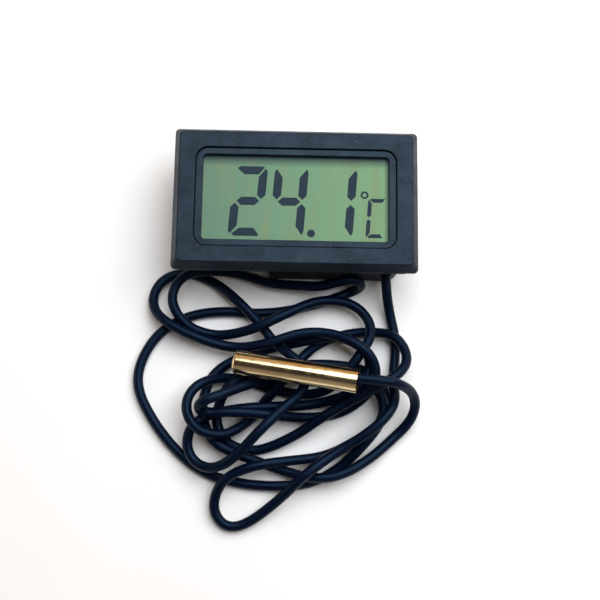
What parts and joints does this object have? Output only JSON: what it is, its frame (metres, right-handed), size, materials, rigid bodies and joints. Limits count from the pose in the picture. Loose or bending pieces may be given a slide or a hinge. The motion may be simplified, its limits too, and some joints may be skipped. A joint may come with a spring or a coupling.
{
  "type": "panel digital thermometer with corded probe",
  "caption": "Snap-in panel module with a liquid-crystal temperature display, a battery box on its back, and a thin flexible cord that ends in a small brass-coloured tube probe.",
  "frame": {"origin": "middle of the display module's outline, on the surface that its battery box rests on", "axes": "+X to the display's right, +Y to the display's top, +Z out of the display's face"},
  "size_m": [0.0571, 0.0781, 0.0151],
  "materials": {
    "case_plastic": "fine matt texture, dark blue-grey",
    "frame_plastic": "smooth matt, dark blue-grey",
    "display": "grey-green satin film",
    "lcd_glass": "clear",
    "foil": "matt silver film",
    "soft_rubber": "matt",
    "board": "green solder mask",
    "resin": "black cast resin",
    "components": "small ceramic chips",
    "steel": "plain bright steel",
    "contact_metal": "sprung strip",
    "wire_skin": "thin soft insulation",
    "cord_skin": "semi-matt, blue-black",
    "probe_metal": "drawn tube, polished"
  },
  "bodies": {
    "case": {"front_case": "case_plastic", "display_frame": "frame_plastic", "lcd_front_polarizer": "display", "lcd_front_glass": "lcd_glass", "lcd_rear_glass": "lcd_glass", "lcd_rear_polarizer": "display", "lcd_reflector": "foil", "zebra_strip": "soft_rubber", "display_cushion": "soft_rubber", "circuit_board": "board", "chip_blob": "resin", "crystal": "steel", "board_components": "components", "case_screws": "steel", "rear_case": "case_plastic", "positive_contact": "contact_metal", "negative_contact": "contact_metal", "cord_collar": "steel", "lead_wire_1": "wire_skin", "lead_wire_2": "wire_skin", "probe_cord": "cord_skin", "probe_shell": "probe_metal", "probe_potting": "resin", "thermistor_leads": "contact_metal", "thermistor_bead": "resin", "cell_1_can": "steel", "cell_1_gasket": "soft_rubber", "cell_1_cap": "steel", "cell_2_can": "steel", "cell_2_gasket": "soft_rubber", "cell_2_cap": "steel"},
    "door": {"battery_door": "case_plastic", "battery_link": "contact_metal"},
    "left_clip": {"left_snap_clip": "case_plastic"},
    "right_clip": {"right_snap_clip": "case_plastic"}
  },
  "joints": [
    {"name": "battery_door_slide", "type": "slide", "parent": "case", "child": "door", "axis": [0, 1, 0], "range_m": [0, 0.018]},
    {"name": "left_clip_flex", "type": "hinge", "parent": "case", "child": "left_clip", "pos_m": [-0.02215, 0, 0.0086], "axis": [0, 1, 0], "range_deg": [0, 11], "stiffness_Nm_per_rad": 0.02},
    {"name": "right_clip_flex", "type": "hinge", "parent": "case", "child": "right_clip", "pos_m": [0.02215, 0, 0.0086], "axis": [0, -1, 0], "range_deg": [0, 11], "stiffness_Nm_per_rad": 0.02}
  ]
}
